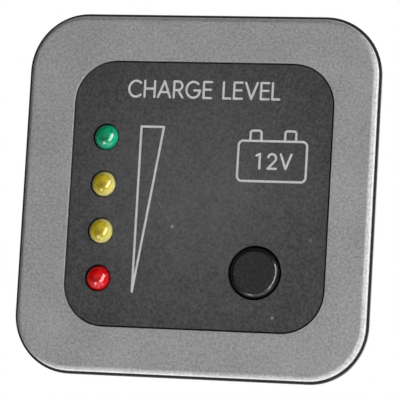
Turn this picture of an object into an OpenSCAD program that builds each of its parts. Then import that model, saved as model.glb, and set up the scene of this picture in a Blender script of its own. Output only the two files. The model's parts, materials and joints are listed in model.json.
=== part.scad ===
// Flush-mounted battery tester for a 12 V battery.
// A silver trim frame snaps over a black mounting frame. A dark insert with four LEDs, a printed scale and
// a push-button fills its opening, and a box-shaped body behind it holds the circuit board.
// The tester stands upright: its front faces -Y, +Z is up, and y = 0 is the surface of the wall it is
// fixed to. All sizes are in millimetres.

/* [Frames] */
// Width and height over the black mounting frame
panel_w = 70; // [68:0.5:80]
// Radius of its corners
panel_r = 11.4; // [9:0.1:14]
// Thickness of the mounting frame's rim
rim_t = 1.0; // [0.8:0.1:2]
// How far the rim stands out around the trim frame
rim_proud = 0.55; // [0.1:0.05:0.6]
// Distance from the wall to the front of the trim frame
trim_top = 2.5; // [2.3:0.1:4]
// Radius of the trim frame's rounded outer edge
trim_edge_r = 1.1; // [0.5:0.1:1.4]

/* [Insert] */
// Width and height of the opening for the insert
opening_w = 51.5; // [50:0.1:54]
// Radius of the opening's corners
opening_r = 8.25; // [6:0.05:10]
// How far the insert sits to the right of the trim frame's centre
insert_shift = 0.6; // [0:0.1:1.2]
// Gap between the insert and the trim frame, all round
insert_gap = 0.3; // [0.1:0.05:0.5]
// How far the insert's face lies behind the front of the trim frame
insert_recess = 0.15; // [0:0.05:0.4]
// Thickness of the printed label
label_t = 0.25; // [0.15:0.05:0.4]

/* [LEDs] */
// Diameter of an LED's dome
led_d = 5; // [4.8:0.1:5.1]
// Distance between neighbouring LEDs
led_pitch = 9.1; // [8:0.1:9.5]
// Distance of the LED column to the left of the insert's centre
led_column_x = 19; // [17:0.1:19]
// Distance of the column's middle below the insert's centre
led_column_drop = 2.8; // [0:0.1:3.5]
// How far the domes stand out of the label
led_proud = 1.4; // [1:0.1:2]

/* [Button] */
// Diameter of the push-button
button_d = 9.7; // [8:0.1:10]
// Radius of the button's rounded edge
button_edge_r = 1.1; // [0.3:0.1:1.2]
// How far the button stands out of the label
button_proud = 0.8; // [0.5:0.1:1.5]
// How far the button travels when it is pressed
button_travel = 1.5; // [1:0.1:1.5]
// Distance of the button to the right of the insert's centre
button_x = 12; // [10:0.1:13]
// Distance of the button below the insert's centre
button_drop = 14.4; // [14:0.1:15]

/* [Body] */
// Width and height of the body behind the insert
body_w = 47; // [46.5:0.1:47]
// Thickness of the body's walls
wall_t = 1.4; // [1.2:0.1:1.5]
// Depth of the front body behind the wall's surface
front_depth = 10; // [9.5:0.5:12]
// Depth of the back of the rear shell behind the wall's surface
shell_depth = 24; // [23:0.5:30]
// Distance between the mounting holes, across and up
hole_spacing = 54; // [53:0.5:55]
// Diameter of the mounting holes
hole_d = 3.5; // [3:0.1:4]

/* [Terminals] */
// Width of a blade terminal
blade_w = 6.3; // [4.8:0.1:6.3]
// Thickness of a blade terminal
blade_t = 0.8; // [0.5:0.1:0.8]
// Length of a blade outside the rear shell
blade_out = 8; // [7:0.5:9]
// Distance between the two blades
blade_spacing = 14; // [12:0.5:15]

/* [Legend] */
// Width of the printed lines
line_w = 0.42; // [0.3:0.02:0.6]
// Height of the title's capitals
title_h = 3.1; // [2.5:0.1:3.5]
// Width of the whole title
title_w = 30.3; // [28:0.1:33]
// Height of the letters in the battery symbol
symbol_h = 2.8; // [2.2:0.1:3]

/* [Hidden] */
$fn = 64;

eps = 0.01;

// Colours
silver = [0.62, 0.62, 0.62];
black = [0.09, 0.09, 0.09];
dark_grey = [0.2, 0.2, 0.2];
print_grey = [0.78, 0.78, 0.78];
board_green = [0.1, 0.36, 0.18];
tinned = [0.75, 0.75, 0.72];
brass = [0.8, 0.68, 0.4];
led_lens_green = [0.05, 0.55, 0.35];
led_lens_yellow = [0.75, 0.68, 0.15];
led_lens_red = [0.8, 0.08, 0.1];

// Frames, from the wall forwards
ledge_t = 0.6;
plateau_t = 1.6;
plateau_w = panel_w - 4;
plateau_r = panel_r - 2;
trim_w = panel_w - 2 * rim_proud;
trim_r = panel_r - rim_proud;
trim_slack = 0.15;
trim_clear = 0.05;
seat_w = opening_w + 0.4;
seat_r = opening_r + 0.2;
collar_t = 1.3;
collar_depth = 6;
collar_gap = 0.2;
collar_in_w = body_w + 2 * collar_gap;
collar_out_w = collar_in_w + 2 * collar_t;
body_r = 3;
head_r = 3.1;
head_depth = head_r - hole_d / 2;
snap_l = 12;
snap_h = 0.3;
snap_z = rim_t + 0.15;
snap_gap = 0.1;

// Insert
face_z = trim_top - insert_recess;
plate_top = face_z - label_t;
plate_w = opening_w - 2 * insert_gap;
plate_r = opening_r - insert_gap;
led_hole_r = led_d / 2 + 0.1;
button_hole_r = button_d / 2 + 0.35;
guide_t = 1.1;
guide_depth = 1.2;
catch_w = 6;
catch_h = 1.5;
catch_z = -4.6;
catch_out = 0.7;
catch_y = 12;
catch_gap = 0.4;

// Circuit board
board_t = 1.6;
board_front = -7;
board_back = board_front - board_t;
inner_w = body_w - 2 * wall_t;
board_w = inner_w - 0.6;
lip_w = inner_w - 0.3;
lip_t = 1.2;
lip_root = 1.5;
wire_r = 0.3;
wire_hole_r = 0.45;
lead_tail = 1.2;
pin_tail = 0.6;

// Screws that hold the rear shell and the board
screw_places = [[17.5, 17.5], [-10.5, -17.5]];
screw_r = 1.1;
screw_hole_r = 1.3;
screw_head_r = 2.1;
screw_head_h = 1.4;
screw_seat_z = -13;
screw_tip_z = -1;
post_r = 2.6;
column_r = 3.3;
counterbore_r = 2.4;
screw_slot_w = 0.6;
screw_slot_l = 2.6;
screw_slot_h = 0.8;
screw_point_h = 1;

// LEDs
led_h = 8.6;
led_flange_h = 1;
led_flange_r = led_d / 2 + 0.4;
led_flat_y = led_d / 2 + 0.05;
led_base_z = face_z + led_proud - led_h;
led_lead_w = 0.5;
led_lead_pitch = 2.54;
led_ys = [for (i = [0 : 3]) (1.5 - i) * led_pitch - led_column_drop];

// Push switch
switch_w = 7;
switch_top = -2.8;
base_top = -6;
switch_wall = 0.8;
switch_lid = 0.6;
plunger_w = 3;
plunger_play = 0.05;
flange_w = 4.9;
flange_t = 0.6;
socket_top = 1.4;
cap_top = face_z + button_proud;
cap_floor = 1.6;
cap_boss_r = 2.7;
cap_wall = 0.9;
skirt_bottom = -0.6;
boss_bottom = -1.2;
flange_bottom = switch_top - switch_lid - flange_t;
bridge_t = 0.15;
bridge_in_r = 1.6;
bridge_out_r = 2.35;
spring_wire_r = 0.1;
spring_r = 1.2;
spring_turns = 4;
spring_seat_z = -6.7;
spring_pocket_r = 1.45;
contact_top = flange_bottom - bridge_t - button_travel - 0.01;
contact_x = 1.95;
contact_w = 0.7;
contact_t = 0.15;
contact_l = 0.6;
pin_x = 2.45;
pin_y = 2.3;
pin_w = 0.6;
pin_t = 0.25;

// Components on the back of the board
chip_at = [4, -4];
chip_l = 19.3;
chip_w = 6.35;
chip_h = 3.4;
chip_gap = 0.5;
chip_pitch = 2.54;
chip_row = 7.62;
chip_pin_w = 0.5;
chip_pin_t = 0.25;
chip_shoulder_w = 1.2;
chip_notch_r = 1;
chip_notch_h = 0.6;
part_lift = 0.1;
resistor_span = 10.16;
resistor_l = 6.3;
resistor_r = 1.15;
resistor_places = [for (i = [0 : 3]) [-12, led_ys[i] + led_pitch / 2], for (i = [0 : 2]) [4.5, 13 + 2.8 * i]];
zener_at = [0, -12];
zener_l = 4;
zener_r = 0.95;
zener_span = 7.62;
diode_at = [1, -17];
diode_l = 5.2;
diode_r = 1.35;
diode_span = 10.16;
capacitor_at = [14.5, 6];
capacitor_r = 2.5;
capacitor_h = 11;
capacitor_pitch = 2;
capacitor_lift = 0.3;
capacitor_lead_r = 0.25;
groove_at = 1;
groove_w = 0.6;
groove_t = 0.25;
blade_y = 9;
blade_x = -2;
leg_w = 1.2;
leg_offset = 2.2;
blade_xs = [blade_x - blade_spacing / 2, blade_x + blade_spacing / 2];
blade_slack = 0.2;
blade_slot_w = blade_w + 2 * blade_slack;
blade_slot_t = blade_t + 2 * blade_slack;
blade_bevel = 1.1;
blade_hole_r = 0.9;
blade_hole_in = 3.2;

// Legend
ink_t = 0.03;
wedge_top = 13.03;
wedge_bottom = -18.82;
wedge_left = -12;
wedge_w = 4.5;
battery_x = 14.2;
battery_y = 6.92;
battery_w = 13.84;
battery_h = 8.13;
battery_r = 1.15;
pole_w = 2.57;
pole_h = 1.97;
pole_r = 0.7;
pole_x = 3.4;
symbol_w = 7.25;
symbol_shift = 0.32;
title_y = 18.8;

// --- Shared shapes ---

// Turns a shape drawn in the panel's own frame (x right, y up, z towards the viewer) upright
module upright() {
    rotate([90, 0, 0])
        children();
}

module on_insert() {
    upright()
        translate([insert_shift, 0, 0])
            children();
}

// Extrudes a flat shape from z0 to z1
module slab(z0, z1) {
    translate([0, 0, z0])
        linear_extrude(z1 - z0)
            children();
}

module corners(offset_x, offset_y) {
    for (sx = [-1, 1], sy = [-1, 1])
        translate([sx * offset_x, sy * offset_y])
            children();
}

module rounded_box(w, h, r) {
    square([w - 2 * r, h], center = true);
    square([w, h - 2 * r], center = true);
    corners(w / 2 - r, h / 2 - r)
        circle(r);
}

module rounded_square(w, r) {
    rounded_box(w, w, r);
}

module quarter_disc(r) {
    intersection() {
        circle(r);
        square(r);
    }
}

// Half section of a slab with a rounded front edge, from its middle to its edge
module edge_section(reach, z0, z1, r) {
    translate([0, z0])
        square([reach, z1 - z0 - r]);
    translate([0, z0])
        square([reach - r, z1 - z0]);
    translate([reach - r, z1 - r])
        quarter_disc(r);
}

// Rounded square slab with a rounded front edge
module pillow(w, corner_r, z0, z1, r) {
    for (turn = [0, 90])
        rotate([0, 0, turn])
            rotate([90, 0, 0])
                linear_extrude(w - 2 * corner_r, center = true) {
                    edge_section(w / 2, z0, z1, r);
                    mirror([1, 0])
                        edge_section(w / 2, z0, z1, r);
                }
    for (sx = [-1, 1], sy = [-1, 1])
        translate([sx * (w / 2 - corner_r), sy * (w / 2 - corner_r), 0])
            rotate_extrude()
                edge_section(corner_r, z0, z1, r);
}

module disc(r, z0, z1) {
    slab(z0, z1)
        circle(r);
}

module block(w, h, z0, z1) {
    slab(z0, z1)
        square([w, h], center = true);
}

// Repeats a shape at the middle of each side of the frames
module each_side(reach) {
    for (turn = [0 : 90 : 270])
        rotate([0, 0, turn])
            translate([reach, 0, 0])
                children();
}

// --- Frames ---

module trim_frame() {
    reach = plateau_w / 2 + trim_slack;
    color(silver)
        upright() {
            difference() {
                pillow(trim_w, trim_r, rim_t, trim_top, trim_edge_r);
                slab(rim_t - 1, plateau_t + trim_clear)
                    rounded_square(2 * reach, plateau_r + trim_slack);
                translate([insert_shift, 0, 0])
                    slab(0, trim_top + 1)
                        rounded_square(opening_w, opening_r);
            }
            each_side(reach)
                translate([-snap_h + eps, -snap_l / 2, snap_z])
                    cube([snap_h, snap_l, snap_h]);
        }
}

module mounting_frame() {
    color(black)
        upright()
            difference() {
                union() {
                    slab(0, rim_t)
                        rounded_square(panel_w, panel_r);
                    slab(0, plateau_t)
                        rounded_square(plateau_w, plateau_r);
                    translate([insert_shift, 0, 0])
                        slab(-collar_depth, plateau_t)
                            rounded_square(collar_out_w, body_r + collar_gap + collar_t);
                }
                translate([insert_shift, 0, 0]) {
                    slab(-collar_depth - 1, plateau_t + 1)
                        rounded_square(collar_in_w, body_r + collar_gap);
                    slab(ledge_t, plateau_t + 1)
                        rounded_square(seat_w, seat_r);
                    for (side = [-1, 1], y = [-catch_y, catch_y])
                        translate([side * (collar_in_w + collar_t) / 2, y, catch_z])
                            block(collar_t + 2, catch_w + 2 * catch_gap, -catch_gap, catch_h + catch_gap);
                }
                each_side(plateau_w / 2 + trim_slack - snap_h - snap_gap)
                    translate([0, -snap_l / 2 - snap_gap, snap_z - snap_gap])
                        cube([2, snap_l + 2 * snap_gap, snap_h + 2 * snap_gap]);
                for (sx = [-1, 1], sy = [-1, 1])
                    translate([sx * hole_spacing / 2, sy * hole_spacing / 2, 0]) {
                        disc(hole_d / 2, -1, plateau_t + 1);
                        translate([0, 0, plateau_t - head_depth])
                            cylinder(r1 = hole_d / 2, r2 = head_r, h = head_depth + eps);
                    }
            }
}

// --- Insert and body ---

module face_holes(z0, z1, led_r, button_r) {
    for (y = led_ys)
        translate([-led_column_x, y, 0])
            disc(led_r, z0, z1);
    translate([button_x, -button_drop, 0])
        disc(button_r, z0, z1);
}

module label_overlay() {
    color(dark_grey)
        on_insert()
            difference() {
                slab(plate_top, face_z)
                    rounded_square(plate_w, plate_r);
                face_holes(plate_top - 1, face_z + 1, led_hole_r, button_hole_r);
            }
}

// Wedge-shaped spring catch on the side of the body, sloping backwards
module side_catch() {
    rotate([90, 0, 0])
        linear_extrude(catch_w, center = true)
            polygon([[-eps, 0], [catch_out, catch_h], [-eps, catch_h]]);
}

module module_front() {
    color(black)
        on_insert() {
            difference() {
                union() {
                    slab(ledge_t, plate_top)
                        rounded_square(plate_w, plate_r);
                    slab(-front_depth, ledge_t)
                        rounded_square(body_w, body_r);
                }
                slab(-front_depth - 1, ledge_t)
                    rounded_square(inner_w, body_r - wall_t);
                face_holes(0, plate_top + 1, led_hole_r + 0.05, button_hole_r - 0.05);
            }
            for (side = [0, 180], y = [-catch_y, catch_y])
                rotate([0, 0, side])
                    translate([body_w / 2, y, catch_z])
                        side_catch();
            translate([button_x, -button_drop, 0])
                difference() {
                    disc(button_hole_r - 0.05 + guide_t, -guide_depth, ledge_t + eps);
                    disc(button_hole_r - 0.05, -guide_depth - 1, ledge_t + 1);
                }
            for (place = screw_places)
                translate([place[0], place[1], 0])
                    difference() {
                        disc(post_r, board_front, ledge_t + eps);
                        disc(screw_r, board_front - 1, screw_tip_z + 0.5);
                    }
        }
}

module rear_shell() {
    color(black)
        on_insert()
            difference() {
                union() {
                    difference() {
                        slab(-shell_depth, -front_depth)
                            rounded_square(body_w, body_r);
                        slab(-shell_depth + wall_t, -front_depth + 1)
                            rounded_square(inner_w, body_r - wall_t);
                    }
                    lip();
                    for (place = screw_places)
                        translate([place[0], place[1], 0])
                            disc(column_r, -shell_depth + eps, board_back);
                    polarity_marks();
                }
                for (place = screw_places)
                    translate([place[0], place[1], 0]) {
                        disc(screw_hole_r, -shell_depth - 1, board_back + 1);
                        disc(counterbore_r, -shell_depth - 1, screw_seat_z);
                    }
                for (x = blade_xs)
                    translate([x, blade_y, 0])
                        block(blade_slot_w, blade_slot_t, -shell_depth - 1, -shell_depth + wall_t + 1);
            }
}

// Lip that reaches into the front body as far as the board, and its root on the shell's walls
module lip() {
    difference() {
        union() {
            slab(-front_depth - lip_root, board_back)
                rounded_square(lip_w, body_r - wall_t);
            slab(-front_depth - lip_root, -front_depth)
                rounded_square(body_w - wall_t, body_r - wall_t / 2);
        }
        slab(-front_depth - lip_root - 1, board_back + 1)
            rounded_square(lip_w - 2 * lip_t, 0.6);
    }
}

// Raised plus and minus signs beside the blades
module polarity_marks() {
    mark_l = 3.2;
    mark_w = 0.7;
    mark_h = 0.4;
    mark_up = 5;
    for (i = [0, 1])
        translate([blade_xs[i], blade_y + mark_up, 0]) {
            block(mark_l, mark_w, -shell_depth - mark_h, -shell_depth + eps);
            if (i == 1)
                block(mark_w, mark_l, -shell_depth - mark_h, -shell_depth + eps);
        }
}

module shell_screws() {
    head_z = screw_seat_z - screw_head_h;
    color(tinned)
        on_insert()
            for (place = screw_places)
                translate([place[0], place[1], 0])
                    difference() {
                        union() {
                            disc(screw_head_r, head_z, screw_seat_z);
                            disc(screw_r, screw_seat_z - eps, screw_tip_z - screw_point_h);
                            translate([0, 0, screw_tip_z - screw_point_h - eps])
                                cylinder(r1 = screw_r, r2 = 0.2, h = screw_point_h);
                        }
                        for (turn = [0, 90])
                            rotate([0, 0, turn])
                                block(screw_slot_l, screw_slot_w, head_z - 1, head_z + screw_slot_h);
                    }
}

// --- LEDs ---

module led_lens(i, tint) {
    color(tint, 0.85)
        on_insert()
            translate([-led_column_x, led_ys[i], led_base_z])
                difference() {
                    rotate_extrude() {
                        square([led_flange_r, led_flange_h]);
                        square([led_d / 2, led_h - led_d / 2]);
                        translate([0, led_h - led_d / 2])
                            quarter_disc(led_d / 2);
                    }
                    translate([-led_flange_r, -2 * led_flange_r - led_flat_y, -1])
                        cube([2 * led_flange_r, 2 * led_flange_r, led_flange_h + 1]);
                }
}

module led_green() {
    led_lens(0, led_lens_green);
}

module led_yellow_high() {
    led_lens(1, led_lens_yellow);
}

module led_yellow_low() {
    led_lens(2, led_lens_yellow);
}

module led_red() {
    led_lens(3, led_lens_red);
}

module at_led_leads() {
    for (y = led_ys, side = [-1, 1])
        translate([-led_column_x, y + side * led_lead_pitch / 2, 0])
            children();
}

module led_leads() {
    color(tinned)
        on_insert()
            at_led_leads()
                block(led_lead_w, led_lead_w, board_back - lead_tail, led_base_z);
}

module led_spacers() {
    color([0.85, 0.85, 0.82])
        on_insert()
            difference() {
                for (y = led_ys)
                    translate([-led_column_x, y, 0])
                        disc(led_d / 2, board_front, led_base_z);
                at_led_leads()
                    disc(wire_hole_r, board_front - 1, led_base_z + 1);
            }
}

// --- Button and switch ---

module at_button() {
    on_insert()
        translate([button_x, -button_drop, 0])
            children();
}

module button_cap() {
    color(black)
        at_button()
            difference() {
                rotate_extrude() {
                    edge_section(button_d / 2, cap_floor, cap_top, button_edge_r);
                    translate([button_d / 2 - cap_wall, skirt_bottom])
                        square([cap_wall, cap_floor - skirt_bottom + eps]);
                    translate([0, boss_bottom])
                        square([cap_boss_r, cap_floor - boss_bottom + eps]);
                }
                block(plunger_w, plunger_w, boss_bottom - 1, socket_top);
            }
}

module switch_plunger() {
    color([0.85, 0.85, 0.82])
        at_button() {
            block(plunger_w, plunger_w, flange_bottom, socket_top);
            block(flange_w, flange_w, flange_bottom, flange_bottom + flange_t);
        }
}

module contact_bridge() {
    color(brass)
        at_button()
            difference() {
                disc(bridge_out_r, flange_bottom - bridge_t, flange_bottom);
                disc(bridge_in_r, flange_bottom - 1, flange_bottom + 1);
            }
}

// A helix: rings of points round a wire that climbs evenly, closed at both ends
module helix(r, wire_r, z0, z1, turns, steps, sides) {
    function ring_point(i, k) =
        let (a = 360 * turns * i / steps, b = 360 * k / sides, reach = r + wire_r * cos(b))
            [reach * cos(a), reach * sin(a), z0 + (z1 - z0) * i / steps + wire_r * sin(b)];
    points = [for (i = [0 : steps], k = [0 : sides - 1]) ring_point(i, k)];
    skin = [for (i = [0 : steps - 1], k = [0 : sides - 1])
        [i * sides + k, i * sides + (k + 1) % sides, (i + 1) * sides + (k + 1) % sides, (i + 1) * sides + k]];
    first = [for (k = [sides - 1 : -1 : 0]) k];
    last = [for (k = [0 : sides - 1]) steps * sides + k];
    polyhedron(points, concat(skin, [first, last]), convexity = 10);
}

module switch_spring() {
    color(tinned)
        at_button()
            helix(spring_r, spring_wire_r, spring_seat_z + spring_wire_r + eps,
                flange_bottom - spring_wire_r - eps, spring_turns, 96, 8);
}

module switch_housing() {
    cavity_w = switch_w - 2 * switch_wall;
    hole_w = plunger_w + 2 * plunger_play;
    color(black)
        at_button()
            difference() {
                block(switch_w, switch_w, base_top, switch_top);
                block(cavity_w, cavity_w, base_top - 1, switch_top - switch_lid);
                block(hole_w, hole_w, base_top, switch_top + 1);
            }
}

module at_switch_pins() {
    for (sx = [-1, 1], sy = [-1, 1])
        translate([sx * pin_x, sy * pin_y, 0])
            children();
}

module switch_base() {
    color([0.5, 0.42, 0.3])
        at_button()
            difference() {
                block(switch_w, switch_w, board_front, base_top);
                disc(spring_pocket_r, spring_seat_z, base_top + 1);
                at_switch_pins()
                    block(pin_t + 2 * plunger_play, pin_w + 2 * plunger_play, board_front - 1, base_top + 1);
            }
}

module switch_contacts() {
    color(brass)
        at_button() {
            for (side = [-1, 1]) {
                translate([side * pin_x, 0, 0])
                    block(pin_t, 2 * pin_y + pin_w, base_top, base_top + contact_t);
                translate([side * (contact_x + pin_x) / 2, 0, 0])
                    block(pin_x - contact_x + pin_t, contact_w, base_top, base_top + contact_t);
                translate([side * contact_x, 0, 0])
                    block(contact_l, contact_w, base_top, contact_top);
            }
            at_switch_pins()
                block(pin_t, pin_w, board_back - lead_tail, base_top + contact_t);
        }
}

// --- Circuit board and components ---

module at_chip_pins() {
    for (i = [-3 : 3], side = [-1, 1])
        translate([chip_at[0] + i * chip_pitch, chip_at[1] + side * chip_row / 2, 0])
            children();
}

// Both ends of a part whose leads are a given span apart along x
module at_lead_ends(place, span) {
    for (side = [-1, 1])
        translate([place[0] + side * span / 2, place[1], 0])
            children();
}

module at_blade_legs() {
    for (x = blade_xs, side = [-1, 1])
        translate([x + side * leg_offset, blade_y, 0])
            children();
}

module circuit_board() {
    low = board_back - 1;
    high = board_front + 1;
    color(board_green)
        on_insert()
            difference() {
                slab(board_back, board_front)
                    rounded_square(board_w, 1);
                for (place = screw_places)
                    translate([place[0], place[1], 0])
                        disc(screw_hole_r, low, high);
                at_led_leads()
                    disc(wire_hole_r, low, high);
                at_chip_pins()
                    disc(wire_hole_r, low, high);
                for (place = resistor_places)
                    at_lead_ends(place, resistor_span)
                        disc(wire_hole_r, low, high);
                at_lead_ends(zener_at, zener_span)
                    disc(wire_hole_r, low, high);
                at_lead_ends(diode_at, diode_span)
                    disc(wire_hole_r, low, high);
                at_lead_ends(capacitor_at, capacitor_pitch)
                    disc(wire_hole_r, low, high);
                translate([button_x, -button_drop, 0])
                    at_switch_pins()
                        disc(wire_hole_r, low, high);
                at_blade_legs()
                    block(leg_w + 0.2, blade_t + 0.2, low, high);
            }
}

module comparator_chip() {
    top = board_back - chip_gap - chip_h;
    color(black)
        on_insert()
            translate([chip_at[0], chip_at[1], 0])
                difference() {
                    block(chip_l, chip_w, top, board_back - chip_gap);
                    translate([-chip_l / 2, 0, 0])
                        disc(chip_notch_r, top - 1, top + chip_notch_h);
                }
}

module chip_pins() {
    shoulder_z = board_back - chip_gap - chip_h / 2;
    side_l = (chip_row - chip_w) / 2;
    color(tinned)
        on_insert() {
            at_chip_pins()
                block(chip_pin_w, chip_pin_t, shoulder_z, board_front + pin_tail);
            for (i = [-3 : 3], side = [-1, 1])
                translate([chip_at[0] + i * chip_pitch, chip_at[1] + side * (chip_w + side_l) / 2, 0])
                    block(chip_shoulder_w, side_l, shoulder_z, shoulder_z + chip_pin_t);
        }
}

// Draws a part lying along x on the back of the board, its axis at the given height above it
module lying(place, height, length) {
    translate([place[0] - length / 2, place[1], board_back - height])
        rotate([0, 90, 0])
            children();
}

// A lead from each end of a lying part, bent into the board
module bent_leads(place, height, length, span) {
    reach = (span - length) / 2;
    for (side = [-1, 1])
        translate([place[0] + side * span / 2, place[1], board_back - height]) {
            sphere(wire_r);
            cylinder(r = wire_r, h = height + board_t + pin_tail);
            rotate([0, -side * 90, 0])
                cylinder(r = wire_r, h = reach);
        }
}

module resistors() {
    bead_l = 1.5;
    waist_r = resistor_r - 0.15;
    color([0.78, 0.68, 0.48])
        on_insert()
            for (place = resistor_places)
                lying(place, resistor_r + part_lift, resistor_l) {
                    cylinder(r = waist_r, h = resistor_l);
                    cylinder(r = resistor_r, h = bead_l);
                    translate([0, 0, resistor_l - bead_l])
                        cylinder(r = resistor_r, h = bead_l);
                }
}

module resistor_leads() {
    color(tinned)
        on_insert()
            for (place = resistor_places)
                bent_leads(place, resistor_r + part_lift, resistor_l, resistor_span);
}

module zener_diode() {
    color([0.8, 0.45, 0.2])
        on_insert()
            lying(zener_at, zener_r + part_lift, zener_l)
                cylinder(r = zener_r, h = zener_l);
}

module protection_diode() {
    color(black)
        on_insert()
            lying(diode_at, diode_r + part_lift, diode_l)
                cylinder(r = diode_r, h = diode_l);
}

module diode_leads() {
    color(tinned)
        on_insert() {
            bent_leads(zener_at, zener_r + part_lift, zener_l, zener_span);
            bent_leads(diode_at, diode_r + part_lift, diode_l, diode_span);
        }
}

module smoothing_capacitor() {
    color([0.12, 0.14, 0.3])
        on_insert()
            translate([capacitor_at[0], capacitor_at[1], board_back - capacitor_lift])
                difference() {
                    disc(capacitor_r, -capacitor_h, 0);
                    difference() {
                        disc(capacitor_r + 1, -groove_at - groove_w, -groove_at);
                        disc(capacitor_r - groove_t, -groove_at - groove_w, -groove_at);
                    }
                }
}

module capacitor_leads() {
    color(tinned)
        on_insert()
            at_lead_ends(capacitor_at, capacitor_pitch)
                disc(capacitor_lead_r, board_back - capacitor_lift, board_front + pin_tail);
}

// --- Terminals ---

module terminal_blades() {
    tip_z = -shell_depth - blade_out;
    half_w = blade_w / 2;
    color(brass)
        on_insert()
            for (x = blade_xs)
                translate([x, blade_y, 0])
                    difference() {
                        union() {
                            rotate([90, 0, 0])
                                linear_extrude(blade_t, center = true)
                                    polygon([[-half_w, board_back], [half_w, board_back],
                                        [half_w, tip_z + blade_bevel], [half_w - blade_bevel, tip_z],
                                        [blade_bevel - half_w, tip_z], [-half_w, tip_z + blade_bevel]]);
                            for (side = [-1, 1])
                                translate([side * leg_offset, 0, 0])
                                    block(leg_w, blade_t, board_back - eps, board_front + pin_tail);
                        }
                        translate([0, 0, tip_z + blade_hole_in])
                            rotate([90, 0, 0])
                                cylinder(r = blade_hole_r, h = 2 * blade_t, center = true);
                    }
}

// --- Printed legend ---

module stroke(a, b) {
    run = b - a;
    translate(a)
        rotate([0, 0, atan2(run[1], run[0])])
            translate([0, -line_w / 2])
                square([norm(run), line_w]);
    translate(a)
        circle(line_w / 2, $fn = 24);
    translate(b)
        circle(line_w / 2, $fn = 24);
}

module strokes(path) {
    for (i = [1 : len(path) - 1])
        stroke(path[i - 1], path[i]);
}

// Points on an arc from angle a0 to a1 round a centre
function arc(centre, rx, ry, a0, a1, n) =
    [for (i = [0 : n]) let (a = a0 + (a1 - a0) * i / n) centre + [rx * cos(a), ry * sin(a)]];

// Letters as lists of paths, 1 high, drawn from their lower left corner
function letter_paths(c) =
    c == "A" ? [[[0, 0], [0.39, 1], [0.78, 0]], [[0.13, 0.32], [0.65, 0.32]]] :
    c == "C" ? [arc([0.45, 0.5], 0.45, 0.5, 48, 312, 14)] :
    c == "E" ? [[[0.5, 1], [0, 1], [0, 0], [0.5, 0]], [[0, 0.52], [0.46, 0.52]]] :
    c == "G" ? [concat(arc([0.45, 0.5], 0.45, 0.5, 48, 320, 14), [[0.88, 0.46], [0.5, 0.46]])] :
    c == "H" ? [[[0, 0], [0, 1]], [[0.64, 0], [0.64, 1]], [[0, 0.52], [0.64, 0.52]]] :
    c == "L" ? [[[0, 1], [0, 0], [0.44, 0]]] :
    c == "R" ? [concat([[0, 0], [0, 1]], arc([0.26, 0.73], 0.26, 0.27, 90, -90, 8), [[0, 0.46]]),
        [[0.26, 0.46], [0.56, 0]]] :
    c == "V" ? [[[0, 1], [0.37, 0], [0.74, 1]]] :
    c == "1" ? [[[0, 0.88], [0.24, 1], [0.24, 0]]] :
    c == "2" ? [concat(arc([0.28, 0.71], 0.28, 0.29, 165, -35, 9), [[0, 0], [0.58, 0]])] :
    [];

// The room each letter takes on the line: a little more than its width for 1, and a little less for 2
function letter_w(c) =
    c == "A" ? 0.78 : c == "C" ? 0.78 : c == "E" ? 0.5 : c == "G" ? 0.88 : c == "H" ? 0.64 :
    c == "L" ? 0.44 : c == "R" ? 0.56 : c == "V" ? 0.74 : c == "1" ? 0.38 : c == "2" ? 0.44 : 0.3;

// How far along the line letter i starts, with a gap after each letter
function letter_start(line, i, gap) =
    i == 0 ? 0 : letter_start(line, i - 1, gap) + letter_w(line[i - 1]) + gap;

// A line of letters of a given width, centred on x = 0 and standing on y = 0
module lettering(line, height, width) {
    last = len(line) - 1;
    total = (width - line_w) / height;
    gap = (total - letter_start(line, last, 0) - letter_w(line[last])) / last;
    for (i = [0 : last], path = letter_paths(line[i]))
        strokes([for (p = path) (p + [letter_start(line, i, gap) - total / 2, 0]) * height]);
}

module wedge_outline() {
    strokes([[wedge_left, wedge_bottom], [wedge_left, wedge_top],
        [wedge_left + wedge_w, wedge_top], [wedge_left, wedge_bottom]]);
}

// The shape of a battery pole with rounded upper corners. It reaches down below y = 0 as well
module pole_shape(w, h, r, down) {
    translate([-w / 2, -down])
        square([w, h - r + down]);
    hull()
        for (side = [-1, 1])
            translate([side * (w / 2 - r), h - r])
                circle(r, $fn = 32);
}

module battery_symbol() {
    half_h = battery_h / 2;
    difference() {
        rounded_box(battery_w, battery_h, battery_r);
        rounded_box(battery_w - 2 * line_w, battery_h - 2 * line_w, battery_r - line_w);
    }
    for (side = [-1, 1])
        translate([side * pole_x, half_h])
            difference() {
                pole_shape(pole_w, pole_h, pole_r, line_w / 2);
                pole_shape(pole_w - 2 * line_w, pole_h - line_w, pole_r - line_w, line_w);
            }
    translate([symbol_shift, -symbol_h / 2])
        lettering("12V", symbol_h, symbol_w);
}

module printed_legend() {
    color(print_grey)
        on_insert()
            slab(face_z, face_z + ink_t) {
                wedge_outline();
                translate([battery_x, battery_y])
                    battery_symbol();
                translate([0, title_y])
                    lettering("CHARGE LEVEL", title_h, title_w);
            }
}

trim_frame();
mounting_frame();
label_overlay();
printed_legend();
module_front();
rear_shell();
shell_screws();
circuit_board();
led_green();
led_yellow_high();
led_yellow_low();
led_red();
led_leads();
led_spacers();
button_cap();
switch_plunger();
contact_bridge();
switch_spring();
switch_housing();
switch_base();
switch_contacts();
comparator_chip();
chip_pins();
resistors();
resistor_leads();
zener_diode();
protection_diode();
diode_leads();
smoothing_capacitor();
capacitor_leads();
terminal_blades();
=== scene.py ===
"""Looks of the battery tester: a silver trim frame on a black mounting frame, a dark printed insert with
four LEDs and a push-button, and the parts behind the wall.
Metres, in the row frame: the front faces -Y and +Z is up."""

import json
import math

import bmesh
import bpy
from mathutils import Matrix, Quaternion, Vector

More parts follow.
